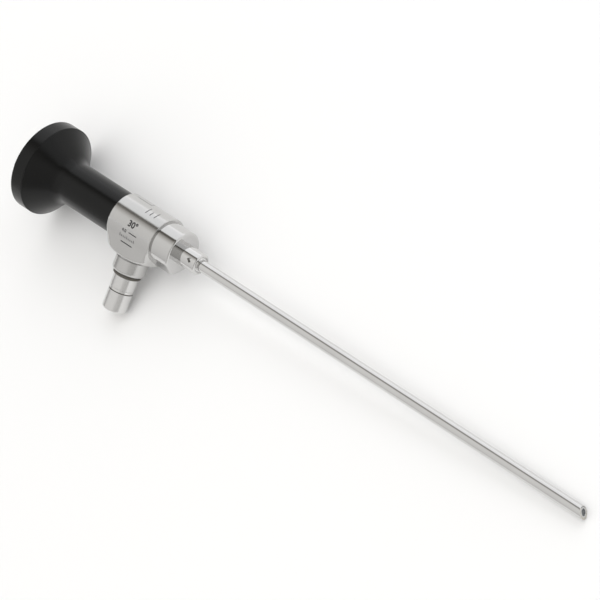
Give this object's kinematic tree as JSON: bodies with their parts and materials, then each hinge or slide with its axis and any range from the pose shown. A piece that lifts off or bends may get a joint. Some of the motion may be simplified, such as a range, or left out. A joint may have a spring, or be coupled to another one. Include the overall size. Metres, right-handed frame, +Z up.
{
  "type": "rigid endoscope",
  "caption": "Rigid endoscope with a slim straight shaft, angled tip, black flared eyepiece, steel housing, sleeve collar and a side post for a light cable.",
  "frame": {"origin": "on the table, below the middle of the instrument's box as it lies at rest", "axes": "+X towards the tip of the shaft, +Z up, the light post points to -Y and a little down"},
  "size_m": [0.2443, 0.0454, 0.0322],
  "materials": {
    "black_polymer": "turned, satin",
    "blackened_metal": "matte black",
    "seal_rubber": "matte",
    "light_guide_glass": "packed fibres, polished end",
    "optical_glass": "polished, coated",
    "polished_steel": "fine polished",
    "satin_steel": "fine bead-blasted satin",
    "plain_steel": "turned"
  },
  "bodies": {
    "root": {"adapter_gasket": "seal_rubber", "adapter_inner": "satin_steel", "adapter_outer": "satin_steel", "aperture_stop": "blackened_metal", "body_housing": "satin_steel", "coupling_collar": "polished_steel", "distal_window": "optical_glass", "eyepiece_cup": "black_polymer", "eyepiece_window": "optical_glass", "fibre_bundle": "light_guide_glass", "field_stop": "blackened_metal", "holder_set_screws": "plain_steel", "lens_retaining_ring": "plain_steel", "light_entry_cone": "light_guide_glass", "light_entry_ferrule": "satin_steel", "neck_o_ring": "seal_rubber", "nose": "polished_steel", "objective_lens_front": "optical_glass", "objective_lens_rear": "optical_glass", "objective_spacer": "plain_steel", "ocular_lens_crown": "optical_glass", "ocular_lens_flint": "optical_glass", "ocular_spacer": "plain_steel", "ocular_tube": "plain_steel", "optic_tube": "plain_steel", "optic_tube_holder": "plain_steel", "outer_tube": "polished_steel", "post_o_ring": "seal_rubber", "post_socket": "satin_steel", "post_stem": "plain_steel", "prism_front": "optical_glass", "prism_rear": "optical_glass", "rod_lens_1": "optical_glass", "rod_lens_2": "optical_glass", "rod_lens_3": "optical_glass", "rod_lens_4": "optical_glass", "rod_lens_5": "optical_glass", "rod_lens_6": "optical_glass", "spacer_tube_1": "plain_steel", "spacer_tube_2": "plain_steel", "spacer_tube_3": "plain_steel", "spacer_tube_4": "plain_steel", "spacer_tube_5": "plain_steel", "spacer_tube_6": "plain_steel", "spacer_tube_7": "plain_steel", "window_frame": "plain_steel"}
  },
  "joints": []
}
